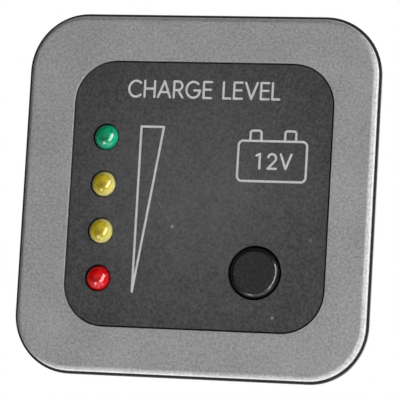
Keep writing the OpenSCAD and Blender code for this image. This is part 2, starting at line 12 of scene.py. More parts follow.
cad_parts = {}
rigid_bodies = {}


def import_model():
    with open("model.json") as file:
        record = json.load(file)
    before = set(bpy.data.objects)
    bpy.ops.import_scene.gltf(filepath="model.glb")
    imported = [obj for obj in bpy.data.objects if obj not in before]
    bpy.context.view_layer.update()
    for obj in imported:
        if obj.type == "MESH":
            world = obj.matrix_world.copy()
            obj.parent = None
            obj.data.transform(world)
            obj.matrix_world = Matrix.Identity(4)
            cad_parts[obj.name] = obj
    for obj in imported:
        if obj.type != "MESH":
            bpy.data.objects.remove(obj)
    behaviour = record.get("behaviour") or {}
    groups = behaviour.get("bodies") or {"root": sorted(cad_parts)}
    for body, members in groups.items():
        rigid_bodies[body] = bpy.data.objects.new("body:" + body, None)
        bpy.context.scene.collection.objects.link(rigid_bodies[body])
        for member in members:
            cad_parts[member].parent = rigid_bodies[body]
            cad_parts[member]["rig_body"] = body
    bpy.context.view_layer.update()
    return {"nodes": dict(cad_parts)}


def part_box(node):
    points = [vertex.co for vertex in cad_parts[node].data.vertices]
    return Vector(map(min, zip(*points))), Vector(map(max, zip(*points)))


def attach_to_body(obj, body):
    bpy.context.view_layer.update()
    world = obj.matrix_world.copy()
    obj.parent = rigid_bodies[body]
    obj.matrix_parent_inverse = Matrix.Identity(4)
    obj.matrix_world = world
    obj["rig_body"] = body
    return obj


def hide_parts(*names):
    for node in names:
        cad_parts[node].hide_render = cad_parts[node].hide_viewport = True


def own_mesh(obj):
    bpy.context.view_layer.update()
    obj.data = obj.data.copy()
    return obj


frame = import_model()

MM = 0.001
MERGE_DISTANCE = 0.001 * MM
FLAT_ANGLE = math.radians(0.5)
BEVEL_ANGLE = math.radians(40)
FORWARDS = (0, -1, 0)

# --- Facts from the frame ---

trim_low, trim_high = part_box("trim_frame")
label_low, label_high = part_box("label_overlay")
cap_low, cap_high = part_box("button_cap")
board_low, board_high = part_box("circuit_board")
spring_low, spring_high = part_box("switch_spring")

label_centre = (label_low + label_high) / 2
cap_centre = (cap_low + cap_high) / 2


# --- Mesh helpers ---

def new_piece(name, shape, smooth_angle=35):
    """Turns a bmesh into an object with smooth faces and edges that stay sharp above the angle."""
    bmesh.ops.recalc_face_normals(shape, faces=shape.faces)
    mesh = bpy.data.meshes.new(name)
    shape.to_mesh(mesh)
    shape.free()
    for face in mesh.polygons:
        face.use_smooth = True
    mesh.set_sharp_from_angle(angle=math.radians(smooth_angle))
    piece = bpy.data.objects.new(name, mesh)
    bpy.context.scene.collection.objects.link(piece)
    return piece


def even_shading(piece):
    """Shades a piece by its large faces, so that they look flat beside their rounded edges."""
    modifier = piece.modifiers.new("Even shading", "WEIGHTED_NORMAL")
    modifier.keep_sharp = True
    modifier.weight = 100
    return modifier


def attach(piece, node, slot, *materials):
    """Gives a piece its materials, and makes it ride on its CAD node's body."""
    for material in materials:
        piece.data.materials.append(material)
    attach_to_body(piece, frame["nodes"][node]["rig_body"])


def dress(piece, node, slot, *materials):
    """Attaches a piece that takes its CAD node's place."""
    attach(piece, node, slot, *materials)
    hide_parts(node)


def cad_shape(node):
    """A CAD node's mesh as a bmesh, its split corners joined."""
    shape = bmesh.new()
    shape.from_mesh(frame["nodes"][node].data)
    bmesh.ops.remove_doubles(shape, verts=shape.verts, dist=MERGE_DISTANCE)
    return shape


def make_softened(node, slot, width, material):
    """A copy of a CAD node, its flat faces whole and its sharp edges rounded off by this width."""
    shape = cad_shape(node)
    bmesh.ops.dissolve_limit(shape, angle_limit=FLAT_ANGLE, verts=shape.verts, edges=shape.edges)
    piece = new_piece(node + "_finished", shape)
    bevel = piece.modifiers.new("Rounded edges", "BEVEL")
    bevel.width = width
    bevel.segments = 3
    bevel.limit_method = "ANGLE"
    bevel.angle_limit = BEVEL_ANGLE
    bevel.use_clamp_overlap = False
    bevel.face_strength_mode = "FSTR_ALL"
    even_shading(piece).use_face_influence = True
    dress(piece, node, slot, material)


def islands(node):
    """The boxes of a node's separate solids, each a lowest and a highest corner."""
    shape = cad_shape(node)
    left = set(shape.verts)
    boxes = []
    while left:
        reached = [left.pop()]
        for vertex in reached:
            for edge in vertex.link_edges:
                other = edge.other_vert(vertex)
                if other in left:
                    left.remove(other)
                    reached.append(other)
        low = Vector([min(v.co[axis] for v in reached) for axis in range(3)])
        high = Vector([max(v.co[axis] for v in reached) for axis in range(3)])
        boxes.append((low, high))
    shape.free()
    return sorted(boxes, key=lambda box: (round(box[0].x, 5), round(box[0].z, 5)))


def arc(centre, radius, start, end, steps):
    """Points (across, forwards) on an arc between two angles in degrees."""
    angles = [math.radians(start + (end - start) * i / steps) for i in range(steps + 1)]
    return [
        (centre[0] + radius * math.cos(a), centre[1] + radius * math.sin(a)) for a in angles
    ]


def rounded_square(half, radius, centre, y, steps=14):
    """Points round an upright square with rounded corners, its centre at (x, z)."""
    points = []
    for turn in range(4):
        for i in range(steps + 1):
            angle = math.radians(90 * (turn + i / steps))
            side_x = 1 if turn in (0, 3) else -1
            side_z = 1 if turn in (0, 1) else -1
            x = centre[0] + side_x * (half - radius) + radius * math.cos(angle)
            z = centre[1] + side_z * (half - radius) + radius * math.sin(angle)
            points.append(Vector((x, y, z)))
    return points


def skin(shape, loops, closed):
    """Faces between neighbouring loops of points, and from the last to the first if it is closed."""
    rings = [[shape.verts.new(point) for point in loop] for loop in loops]
    count = len(rings[0])
    pairs = list(zip(rings, rings[1:]))
    if closed:
        pairs.append((rings[-1], rings[0]))
    for ring, following in pairs:
        for i in range(count):
            corner = (i + 1) % count
            shape.faces.new((ring[i], ring[corner], following[corner], following[i]))
    return rings


def turned(shape, profile, place, along, steps, paints=None):
    """A turned solid: profile points (radius, distance along the axis) swept round an axis from place.
    paints gives each stretch of the profile its material's index."""
    along = Vector(along)
    across = along.orthogonal().normalized()
    upwards = along.cross(across)
    rings = []
    for radius, distance in profile:
        centre = Vector(place) + along * distance
        if radius < MERGE_DISTANCE:
            rings.append([shape.verts.new(centre)])
            continue
        angles = [2 * math.pi * i / steps for i in range(steps)]
        rings.append([
            shape.verts.new(centre + radius * (across * math.cos(a) + upwards * math.sin(a)))
            for a in angles
        ])
    for index, (ring, following) in enumerate(zip(rings, rings[1:])):
        for i in range(steps):
            beyond = (i + 1) % steps
            corners = [ring[i % len(ring)], ring[beyond % len(ring)]]
            corners += [following[beyond % len(following)], following[i % len(following)]]
            unique = list(dict.fromkeys(corners))
            if len(unique) > 2:
                face = shape.faces.new(unique)
                face.material_index = paints[index] if paints else 0


# --- Material helpers ---

def add(tree, kind, inputs=None, **settings):
    """A new node. settings are its properties; inputs maps its sockets to values or to other sockets."""
    node = tree.nodes.new(kind)
    for name, value in settings.items():
        setattr(node, name, value)
    for socket, value in (inputs or {}).items():
        if isinstance(value, bpy.types.NodeSocket):
            tree.links.new(value, node.inputs[socket])
        else:
            node.inputs[socket].default_value = value
    return node


def object_place(tree):
    return add(tree, "ShaderNodeTexCoord").outputs["Object"]


def noise(tree, size, detail=2.0, roughness=0.5, stretch=(1, 1, 1)):
    """Noise from 0 to 1 with features of this size, longer along the axes that are stretched."""
    inverse = [1 / s for s in stretch]
    place = add(
        tree, "ShaderNodeVectorMath",
        {0: object_place(tree), 1: inverse}, operation="MULTIPLY",
    ).outputs[0]
    return add(
        tree, "ShaderNodeTexNoise",
        {"Vector": place, "Scale": 1 / size, "Detail": detail, "Roughness": roughness},
    ).outputs["Fac"]


def flakes(tree, size):
    """A random level from 0 to 1 for each small cell of this size."""
    cells = add(
        tree, "ShaderNodeTexVoronoi", {"Vector": object_place(tree), "Scale": 1 / size}
    )
    return add(tree, "ShaderNodeSeparateColor", {0: cells.outputs["Color"]}).outputs[0]


def ranged(tree, value, low, high, start=0.3, end=0.7):
    """Maps a value from start..end to low..high, and holds it there beyond them."""
    return add(
        tree, "ShaderNodeMapRange",
        {"Value": value, "From Min": start, "From Max": end, "To Min": low, "To Max": high},
    ).outputs[0]


def summed(tree, *values):
    total = values[0]
    for value in values[1:]:
        total = add(tree, "ShaderNodeMath", {0: total, 1: value}, operation="ADD").outputs[0]
    return total


def times(tree, a, b):
    return add(tree, "ShaderNodeMath", {0: a, 1: b}, operation="MULTIPLY").outputs[0]


def blended(tree, factor, dark, light):
    """A colour between two colours, which a Mix node takes in sockets 6 and 7 and gives in 2."""
    return add(
        tree, "ShaderNodeMix", {0: factor, 6: colour_value(dark), 7: colour_value(light)},
        data_type="RGBA", clamp_factor=True,
    ).outputs[2]


def colour_value(colour):
    if isinstance(colour, bpy.types.NodeSocket):
        return colour
    return (*colour, 1.0)


def scaled(colour, factor):
    return tuple(channel * factor for channel in colour)


def bumped(tree, height, depth):
    """A normal bent by a height from 0 to 1 that stands for this depth."""
    return add(
        tree, "ShaderNodeBump", {"Height": height, "Distance": depth, "Strength": 1.0}
    ).outputs[0]


def new_material(name, colour):
    """A material with a Principled shader alone. Returns the material, its tree and the shader."""
    material = bpy.data.materials.new(name)
    material.use_nodes = True
    material.diffuse_color = (*colour, 1.0)
    tree = material.node_tree
    return material, tree, tree.nodes["Principled BSDF"]


def feed(tree, shader, **inputs):
    """Sets a shader's inputs to values or to sockets; an underscore stands for a space."""
    for name, value in inputs.items():
        socket = shader.inputs[name.replace("_", " ")]
        if isinstance(value, bpy.types.NodeSocket):
            tree.links.new(value, socket)
        else:
            socket.default_value = value


# --- Materials ---

def silver_paint():
    """Satin silver paint: fine metal flakes in a clear binder, a little uneven where it was sprayed."""
    grey = (0.38, 0.38, 0.382)
    material, tree, shader = new_material("silver_paint", grey)
    flake = ranged(tree, flakes(tree, 0.2 * MM), -0.5, 0.5, 0, 1)
    grain = ranged(tree, noise(tree, 0.5 * MM, detail=3), -1, 1)
    cloud = ranged(tree, noise(tree, 9 * MM), -1, 1)
    tone = summed(
        tree, 0.5, times(tree, flake, 0.5), times(tree, grain, 0.35), times(tree, cloud, 0.1)
    )
    colour = blended(tree, tone, scaled(grey, 0.7), scaled(grey, 1.3))
    roughness = summed(tree, 0.54, times(tree, grain, 0.05), times(tree, cloud, 0.02))
    feed(
        tree, shader, Base_Color=colour, Metallic=0.4, Roughness=roughness,
        Normal=bumped(tree, noise(tree, 0.25 * MM), 0.004 * MM),
        Coat_Weight=0.15, Coat_Roughness=0.3,
    )
    return material


def moulded_plastic(
    name, colour, roughness, grain=0.2 * MM, depth=0.008 * MM, coat=0.0, shine=0.5, mottle=0.3
):
    """Moulded plastic, cloudy in tone and gloss, with a little pale dust. grain and depth are its bumps'
    size and height; mottle is how far its tone and shine vary."""
    material, tree, shader = new_material(name, colour)
    cloud = noise(tree, 6 * MM, detail=3)
    fine = noise(tree, grain, detail=3)
    speck = ranged(tree, noise(tree, 0.45 * MM, detail=3), 0, 0.7)
    tone = summed(tree, ranged(tree, cloud, 0, 0.3), speck)
    base = blended(tree, tone, scaled(colour, 1 - mottle), scaled(colour, 1 + mottle))
    dust = ranged(tree, noise(tree, 1.1 * MM, detail=5, roughness=0.7), 0, 0.25, 0.6, 0.8)
    colours = blended(tree, dust, base, scaled(colour, 1.9))
    gloss = summed(
        tree, roughness, ranged(tree, cloud, -0.05, 0.05), ranged(tree, fine, -0.04, 0.04)
    )
    patches = noise(tree, 0.4 * MM, detail=3)
    patchy = ranged(tree, patches, shine * (1 - mottle), shine * (1 + mottle))
    feed(
        tree, shader, Base_Color=colours, Roughness=gloss, Normal=bumped(tree, fine, depth),
        Specular_IOR_Level=patchy, Coat_Weight=coat, Coat_Roughness=roughness / 2,
    )
    return material


def bare_metal(name, colour, roughness, stretch=(1, 1, 1)):
    """Plain or plated metal with fine drawn marks and a faint tarnish."""
    material, tree, shader = new_material(name, colour)
    marks = noise(tree, 0.12 * MM, detail=3, stretch=stretch)
    tarnish = noise(tree, 2.5 * MM, detail=4, roughness=0.6)
    colours = blended(tree, ranged(tree, tarnish, 0, 1), scaled(colour, 0.75), colour)
    gloss = summed(
        tree, roughness, ranged(tree, marks, -0.08, 0.08), ranged(tree, tarnish, 0.06, -0.04)
    )
    feed(
        tree, shader, Base_Color=colours, Metallic=1.0, Roughness=gloss,
        Normal=bumped(tree, marks, 0.003 * MM),
    )
    return material


def from_insert(tree, x, z):
    """The place relative to a point on the insert's face, across and up from its centre."""
    point = (label_centre.x + x, label_low.y, label_centre.z + z)
    return add(
        tree, "ShaderNodeVectorMath", {0: object_place(tree), 1: point}, operation="SUBTRACT"
    ).outputs[0]


def spot(tree, x, z, radius, strength):
    """A small scuff on the insert, this strong in its middle, with an uneven edge."""
    wobble = ranged(tree, noise(tree, 0.5 * MM), -0.3 * radius, 0.3 * radius)
    place = from_insert(tree, x, z)
    reach = add(tree, "ShaderNodeVectorMath", {0: place}, operation="LENGTH").outputs["Value"]
    return ranged(tree, summed(tree, reach, wobble), strength, 0, 0.4 * radius, radius)


def scratch(tree, x, z, lean, length, width, strength):
    """A fine broken scratch on the insert, this strong in its middle, leaning some degrees from level."""
    turned_place = add(
        tree, "ShaderNodeVectorRotate",
        {"Vector": from_insert(tree, x, z), "Angle": math.radians(lean)}, rotation_type="Y_AXIS",
    ).outputs[0]
    aside = add(tree, "ShaderNodeVectorMath", {0: turned_place}, operation="ABSOLUTE").outputs[0]
    sides = add(tree, "ShaderNodeSeparateXYZ", {0: aside})
    lengthwise = ranged(tree, sides.outputs["X"], strength, 0, 0.3 * length, 0.5 * length)
    across = ranged(tree, sides.outputs["Z"], 1, 0, 0.3 * width, width)
    broken = ranged(tree, noise(tree, 0.9 * MM), 0, 1, 0.4, 0.6)
    return times(tree, times(tree, lengthwise, across), broken)


def label_film():
    """Matt printed film with a painted sheen: its colour is paler round the middle, standing for a broad
    light's reflection. A few small scuffs and a scratch.
    """
    grey = (0.072, 0.071, 0.073)
    material, tree, shader = new_material("label_film", grey)
    weave = noise(tree, 0.5 * MM, detail=3)
    cloud = noise(tree, 7 * MM)
    reach = add(
        tree, "ShaderNodeVectorMath",
        {0: object_place(tree), 1: label_centre}, operation="DISTANCE",
    ).outputs["Value"]
    # Painted sheen: paler colour round the middle stands for a broad light's reflection; the film is a
    # little glossier there too.
    painted_sheen = ranged(tree, reach, 1, 0, 6 * MM, 30 * MM)
    tone = summed(
        tree, times(tree, painted_sheen, 0.55),
        ranged(tree, weave, -0.2, 0.6), ranged(tree, cloud, -0.05, 0.1),
    )
    colours = blended(tree, tone, scaled(grey, 0.45), scaled(grey, 1.35))
    scuffs = summed(
        tree,
        spot(tree, -4.7 * MM, -6.1 * MM, 0.45 * MM, strength=0.85),
        spot(tree, 22.5 * MM, -7.9 * MM, 0.4 * MM, strength=0.35),
        spot(tree, 15.9 * MM, -22.8 * MM, 0.36 * MM, strength=0.75),
        spot(tree, 9.6 * MM, 0.7 * MM, 0.35 * MM, strength=0.25),
        scratch(tree, -6.5 * MM, -3.3 * MM, -56, 6.5 * MM, 0.16 * MM, strength=0.35),
    )
    scuffed = blended(tree, scuffs, colours, scaled(grey, 4.0))
    gloss = summed(
        tree, 0.5, ranged(tree, weave, -0.05, 0.05), ranged(tree, painted_sheen, 0.03, -0.03, 0, 1)
    )
    feed(
        tree, shader, Base_Color=scuffed, Roughness=gloss,
        Normal=bumped(tree, weave, 0.006 * MM), Specular_IOR_Level=0.4,
    )
    return material


def legend_ink():
    """Pale grey screen print, a little thin in places."""
    grey = (0.58, 0.58, 0.575)
    material, tree, shader = new_material("legend_ink", grey)
    thin = noise(tree, 0.35 * MM, detail=4)
    colours = blended(tree, ranged(tree, thin, 0, 1), scaled(grey, 0.8), scaled(grey, 1.12))
    feed(
        tree, shader, Base_Color=colours, Roughness=ranged(tree, thin, 0.5, 0.65),
        Normal=bumped(tree, thin, 0.004 * MM),
    )
    return material


LED_CUP_Z = -0.45 * MM


def led_epoxy(name, deep, bright, pale):
    """Tinted milky epoxy, cloudy inside. Its colour holds painted shade of the cup, deeper over the cup,
    and a painted rim tone near the lens's skin: pale is painted light on the yellow lens and painted
    shade on the green and red ones.
    """
    material, tree, shader = new_material(name, bright)
    cloud = noise(tree, 0.9 * MM, detail=4, roughness=0.65)
    across = add(
        tree, "ShaderNodeVectorMath", {0: object_place(tree), 1: (1, 0, 1)}, operation="MULTIPLY"
    ).outputs[0]
    reach = add(tree, "ShaderNodeVectorMath", {0: across}, operation="LENGTH").outputs["Value"]
    from_cup = add(
        tree, "ShaderNodeVectorMath", {0: across, 1: (0, 0, LED_CUP_Z)}, operation="DISTANCE"
    ).outputs["Value"]
    # Painted shade: the colour darkens over the cup, standing for the cup's shade seen through the epoxy.
    painted_cup_shade = ranged(tree, from_cup, 0.95, 0, 0.15 * MM, 1.1 * MM)
    # Painted rim tone near the lens's skin: painted light on the yellow lens, painted shade on the green
    # and red ones.
    painted_rim_share = ranged(tree, reach, 0, 0.8, 1.6 * MM, 2.2 * MM)
    tone = blended(tree, ranged(tree, cloud, 0, 1, 0.38, 0.62), deep, bright)
    with_painted_cup_shade = blended(tree, painted_cup_shade, tone, scaled(deep, 0.6))
    colours = blended(tree, painted_rim_share, with_painted_cup_shade, pale)
    feed(
        tree, shader, Base_Color=colours, Roughness=ranged(tree, cloud, 0.05, 0.08),
        IOR=1.53, Specular_IOR_Level=0.7, Transmission_Weight=0.2,
        Subsurface_Weight=0.7, Subsurface_Radius=(1.0, 1.0, 1.0), Subsurface_Scale=0.6 * MM,
        Coat_Weight=0.6, Coat_Roughness=0.04,
        Normal=bumped(tree, noise(tree, 0.9 * MM), 0.002 * MM),
    )
    return material


def solder_mask():
    """Green solder mask over glass cloth: the weave shows as a faint grid."""
    green = (0.012, 0.10, 0.04)
    material, tree, shader = new_material("solder_mask", green)
    weave = add(
        tree, "ShaderNodeTexBrick",
        {"Vector": object_place(tree), "Scale": 1 / (0.5 * MM), "Mortar Size": 0.1,
         "Color1": (1, 1, 1, 1), "Color2": (0.7, 0.7, 0.7, 1), "Mortar": (0, 0, 0, 1)},
    ).outputs["Color"]
    cloud = noise(tree, 4 * MM, detail=3)
    base = blended(tree, ranged(tree, cloud, 0, 1), scaled(green, 0.8), scaled(green, 1.4))
    colours = blended(tree, times(tree, weave, 0.15), base, scaled(green, 2.2))
    feed(
        tree, shader, Base_Color=colours, Roughness=ranged(tree, cloud, 0.25, 0.35),
        Coat_Weight=0.4, Coat_Roughness=0.15, Normal=bumped(tree, weave, 0.004 * MM),
    )
    return material


def glazed(name, colour):
    """Glazed or lacquered skin of a small component, with a shallow orange-peel surface."""
    material, tree, shader = new_material(name, colour)
    peel = noise(tree, 0.5 * MM, detail=2)
    colours = blended(tree, ranged(tree, peel, 0, 1), scaled(colour, 0.85), scaled(colour, 1.1))
    feed(
        tree, shader, Base_Color=colours, Roughness=ranged(tree, peel, 0.32, 0.4),
        Coat_Weight=0.6, Coat_Roughness=0.12, Normal=bumped(tree, peel, 0.01 * MM),
    )
    return material


# --- Pieces at the front ---

TRIM_CORNER_R = 10.85 * MM
TRIM_EDGE_R = 1.1 * MM
TRIM_BACK_CHAMFER = 0.08 * MM
CHANNEL_HALF = 33.15 * MM
CHANNEL_DEPTH = 0.65 * MM
INSERT_GAP = 0.3 * MM
OPENING_HALF = (label_high.x - label_low.x) / 2 + INSERT_GAP
OPENING_R = 8.25 * MM
OPENING_EDGE_R = 0.12 * MM


def make_trim():
    """The trim frame as one ring: a rounded outer edge, a flat front, a crisp opening and an open channel
    behind."""
    half = (trim_high.x - trim_low.x) / 2
    centre = ((trim_low.x + trim_high.x) / 2, (trim_low.z + trim_high.z) / 2)
    front = trim_low.y
    back = trim_high.y
    channel_front = back - CHANNEL_DEPTH
    channel_inset = half - CHANNEL_HALF
    outer = [
        (channel_inset, back), (TRIM_BACK_CHAMFER, back), (0.0, back - TRIM_BACK_CHAMFER)
    ]
    for i in range(11):
        angle = math.radians(90 * i / 10)
        inset = TRIM_EDGE_R * (1 - math.cos(angle))
        outer.append((inset, front + TRIM_EDGE_R * (1 - math.sin(angle))))
    opening = []
    for i in range(5):
        angle = math.radians(90 * i / 4)
        outset = OPENING_EDGE_R * (1 - math.sin(angle))
        opening.append((outset, front + OPENING_EDGE_R * (1 - math.cos(angle))))
    opening.append((0.0, channel_front))
    opening_centre = (label_centre.x, label_centre.z)
    loops = [rounded_square(half - inset, TRIM_CORNER_R - inset, centre, y) for inset, y in outer]
    loops += [
        rounded_square(OPENING_HALF + outset, OPENING_R + outset, opening_centre, y)
        for outset, y in opening
    ]
    loops.append(rounded_square(
        half - channel_inset, TRIM_CORNER_R - channel_inset, centre, channel_front
    ))
    shape = bmesh.new()
    skin(shape, loops, closed=True)
    piece = new_piece("trim_ring", shape, smooth_angle=25)
    even_shading(piece)
    dress(piece, "trim_frame", "silver_paint", silver_paint())


def led_lens_shape(rim_r, height, flat):
    """A lens with a rim at its back, cut off at the flat below its axis."""
    radius = rim_r - 0.4 * MM
    rim_height = 1 * MM
    chamfer = 0.08 * MM
    fillet = 0.06 * MM
    profile = [(0, 0), (rim_r - chamfer, 0), (rim_r, chamfer), (rim_r, rim_height - chamfer)]
    profile += [(rim_r - chamfer, rim_height), (radius + fillet, rim_height)]
    profile += [(radius, rim_height + fillet)] + arc((0, height - radius), radius, 0, 90, 14)
    profile[-1] = (0, height)
    shape = bmesh.new()
    turned(shape, profile, (0, 0, 0), FORWARDS, steps=56)
    for vertex in shape.verts:
        if vertex.co.z < flat:
            vertex.co.z = flat
    bmesh.ops.remove_doubles(shape, verts=shape.verts, dist=MERGE_DISTANCE)
    return shape


def led_inside_shape():
    """The cup and the post inside a lens."""
    foot = -1.2 * MM
    post_z = 1.1 * MM
    cup = [(0, 0), (0.55 * MM, 0), (0.6 * MM, 2.6 * MM), (0.95 * MM, 3.4 * MM)]
    cup += [(0.85 * MM, 3.45 * MM), (0.45 * MM, 3.0 * MM), (0, 3.0 * MM)]
    post = [(0, 0), (0.3 * MM, 0), (0.3 * MM, 2.9 * MM), (0.45 * MM, 3.1 * MM), (0, 3.3 * MM)]
    shape = bmesh.new()
    turned(shape, cup, (0, foot, LED_CUP_Z), FORWARDS, steps=24)
    turned(shape, post, (0, foot, post_z), FORWARDS, steps=16)
    return shape


def make_led(node, slot, epoxy, metal):
    """One LED: its lens, and the cup and post inside it."""
    low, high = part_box(node)
    rim_r = (high.x - low.x) / 2
    centre = Vector(((low.x + high.x) / 2, high.y, high.z - rim_r))
    lens = new_piece(node + "_lens", led_lens_shape(rim_r, high.y - low.y, low.z - centre.z))
    lens.location = centre
    dress(lens, node, slot, epoxy)
    inside = new_piece(node + "_cup_and_post", led_inside_shape())
    inside.location = centre
    attach(inside, node, "tinned_wire", metal)


def make_button(plastic):
    """The button cap: a barely dished top with a rounded edge over a skirt, and a hollow boss."""
    radius = (cap_high.x - cap_low.x) / 2
    height = cap_high.y - cap_low.y
    place = Vector((cap_centre.x, cap_high.y, cap_centre.z))
    edge_r = 1.05 * MM
    edge_drop = 1.25 * MM
    chamfer = 0.1 * MM
    boss_r = 2.7 * MM
    socket_r = 1.5 * MM
    socket_top = 2.6 * MM
    floor = 2.8 * MM
    skirt_lift = 0.6 * MM
    wall = 0.9 * MM
    dish_width = 0.6 * MM
    dish_edge = 0.012 * MM
    dish_depth = 0.03 * MM
    profile = [(0, socket_top), (socket_r, socket_top), (socket_r, 0), (boss_r - chamfer, 0)]
    profile += [(boss_r, chamfer), (boss_r, floor), (radius - wall, floor), (radius - wall, skirt_lift)]
    profile += [(radius - chamfer, skirt_lift), (radius, skirt_lift + chamfer)]
    for across, forwards in arc((0, 0), 1, 0, 90, 14):
        profile.append((radius - edge_r * (1 - across), height - edge_drop * (1 - forwards)))
    profile += [(radius - edge_r - dish_width, height - dish_edge), (0, height - dish_depth)]
    shape = bmesh.new()
    turned(shape, profile, place, FORWARDS, steps=96)
    dress(new_piece("button_turned_cap", shape), "button_cap", "button_black", plastic)


# --- Pieces on the board ---

def make_spring(metal):
    """The switch's coil spring, its end turns closed up. It shortens as the button is pressed."""
    wire_r = 0.1 * MM
    centre = (spring_low + spring_high) / 2
    coil_r = (spring_high.x - spring_low.x) / 2 - wire_r
    length = spring_high.y - spring_low.y - 2 * wire_r
    turns = 4.0
    closing = 0.6
    steps = 160
    sides = 8
    loops = []
    for i in range(steps + 1):
        share = i / steps
        angle = 2 * math.pi * turns * share
        ease = share - math.sin(2 * math.pi * share) / (2 * math.pi) * closing
        outwards = Vector((math.cos(angle), 0, math.sin(angle)))
        axis_y = spring_high.y - wire_r - length * ease
        place = Vector((centre.x, axis_y, centre.z)) + coil_r * outwards
        loop = []
        for k in range(sides):
            roll = 2 * math.pi * k / sides
            loop.append(place + wire_r * (math.cos(roll) * outwards + Vector((0, math.sin(roll), 0))))
        loops.append(loop)
    shape = bmesh.new()
    rings = skin(shape, loops, closed=False)
    shape.faces.new(list(reversed(rings[0])))
    shape.faces.new(rings[-1])
    piece = new_piece("switch_coil_spring", shape)
    dress(piece, "switch_spring", "spring_steel", metal)
    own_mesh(piece)


def make_resistors(body_lacquer, bands):
    """Each resistor as a turned body with swollen ends and four colour bands. A stop is a radius, a
    distance from the end, and the paint up to the next stop: 0 for the body, 1 to 4 for the bands."""
    shape = bmesh.new()
    for low, high in islands("resistors"):
        radius = (high.y - low.y) / 2
        length = high.x - low.x
        place = Vector((low.x, (low.y + high.y) / 2, (low.z + high.z) / 2))
        waist = radius - 0.15 * MM
        end = 1.5 * MM
        stops = [(0, 0, 0), (0.5 * radius, 0, 0), (0.88 * radius, 0.08 * MM, 0)]
        stops += [(radius, 0.4 * MM, 0), (radius, 0.55 * MM, 1), (radius, 1.1 * MM, 0)]
        stops += [(0.97 * radius, end, 0), (waist, 1.95 * MM, 2), (waist, 2.5 * MM, 0)]
        stops += [(waist, 3.05 * MM, 3), (waist, 3.6 * MM, 0)]
        stops += [(waist, length - 1.95 * MM, 0), (0.97 * radius, length - end, 0)]
        stops += [(radius, length - 1.1 * MM, 4), (radius, length - 0.55 * MM, 0)]
        stops += [(radius, length - 0.4 * MM, 0), (0.88 * radius, length - 0.08 * MM, 0)]
        stops += [(0.5 * radius, length, 0), (0, length, 0)]
        profile = [stop[:2] for stop in stops]
        turned(shape, profile, place, (1, 0, 0), steps=28, paints=[stop[2] for stop in stops])
    piece = new_piece("resistor_bodies", shape, smooth_angle=50)
    dress(piece, "resistors", "resistor_beige", body_lacquer, *bands)


def make_diode(node, slot, body, band):
    """A diode body with rounded ends and its cathode band."""
    low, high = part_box(node)
    radius = (high.z - low.z) / 2
    length = high.x - low.x
    place = Vector((low.x, (low.y + high.y) / 2, (low.z + high.z) / 2))
    round_r = 0.25 * MM
    profile = [(0, 0)] + arc((radius - round_r, round_r), round_r, -90, 0, 5)
    band_start = len(profile)
    profile += [(radius, length - 1.3 * MM), (radius, length - 0.7 * MM)]
    profile += arc((radius - round_r, length - round_r), round_r, 0, 90, 5) + [(0, length)]
    paints = [0] * len(profile)
    paints[band_start] = 1
    shape = bmesh.new()
    turned(shape, profile, place, (1, 0, 0), steps=32, paints=paints)
    dress(new_piece(node + "_body", shape), node, slot, body, band)


def make_capacitor(sleeve, stripe, top_metal):
    """The capacitor: a crimped can in a sleeve with a pale stripe on one side, and a bare end."""
    low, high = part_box("smoothing_capacitor")
    radius = (high.x - low.x) / 2
    height = high.y - low.y
    place = Vector(((low.x + high.x) / 2, low.y, (low.z + high.z) / 2))
    groove_r = 0.3 * MM
    stripe_half = 0.85 * MM
    profile = [(0, 0), (radius - 0.2 * MM, 0), (radius, 0.2 * MM), (radius, 0.95 * MM)]
    profile += arc((radius + 0.05 * MM, 1.3 * MM), groove_r, 260, 100, 6)
    profile += [(radius, 1.7 * MM), (radius, height - 0.3 * MM), (radius - 0.12 * MM, height - 0.08 * MM)]
    profile += [(radius - 0.35 * MM, height), (radius - 0.55 * MM, height - 0.06 * MM)]
    bare_stops = [(radius - 0.6 * MM, height - 0.12 * MM), (0, height - 0.12 * MM)]
    paints = [0] * (len(profile) - 1) + [2] * (len(bare_stops) + 1)
    profile += bare_stops
    shape = bmesh.new()
    turned(shape, profile, place, (0, 1, 0), steps=48, paints=paints)
    for face in shape.faces:
        middle = face.calc_center_median() - place
        on_stripe = abs(middle.x) < stripe_half and middle.z < 0
        if face.material_index == 0 and on_stripe:
            face.material_index = 1
    piece = new_piece("capacitor_can", shape)
    dress(piece, "smoothing_capacitor", "capacitor_sleeve", sleeve, stripe, top_metal)


FRONT_PARTS = ["led_leads", "switch_contacts"]
BACK_PARTS = ["chip_pins", "resistor_leads", "diode_leads", "capacitor_leads"]


def make_solder(metal):
    """A solder fillet round every lead where it comes out of the board: at the back for the parts on its
    front, at the front for the others."""
    sunk = -0.01 * MM
    fillet = [(0, sunk), (0.78 * MM, sunk), (0.78 * MM, 0.03 * MM), (0.5 * MM, 0.14 * MM)]
    fillet += [(0.36 * MM, 0.32 * MM), (0.31 * MM, 0.52 * MM), (0, 0.52 * MM)]
    shape = bmesh.new()
    for node in FRONT_PARTS + BACK_PARTS:
        at_back = node in FRONT_PARTS
        surface = board_high.y if at_back else board_low.y
        outwards = (0, 1 if at_back else -1, 0)
        for low, high in islands(node):
            for x, z in tail_places(node, low, high):
                turned(shape, fillet, (x, surface, z), outwards, steps=18)
    piece = new_piece("solder_joints", shape, smooth_angle=60)
    attach(piece, "circuit_board", "tinned_wire", metal)


def tail_places(node, low, high):
    """Where one solid of a node passes through the board, as (x, z) places."""
    wire_r = 0.3 * MM
    x = (low.x + high.x) / 2
    z = (low.z + high.z) / 2
    if node == "switch_contacts":
        return [(x, low.z + wire_r), (x, high.z - wire_r)]
    if node in ("resistor_leads", "diode_leads"):
        x = low.x + wire_r if high.x < part_middle(node, x, z) else high.x - wire_r
    return [(x, z)]


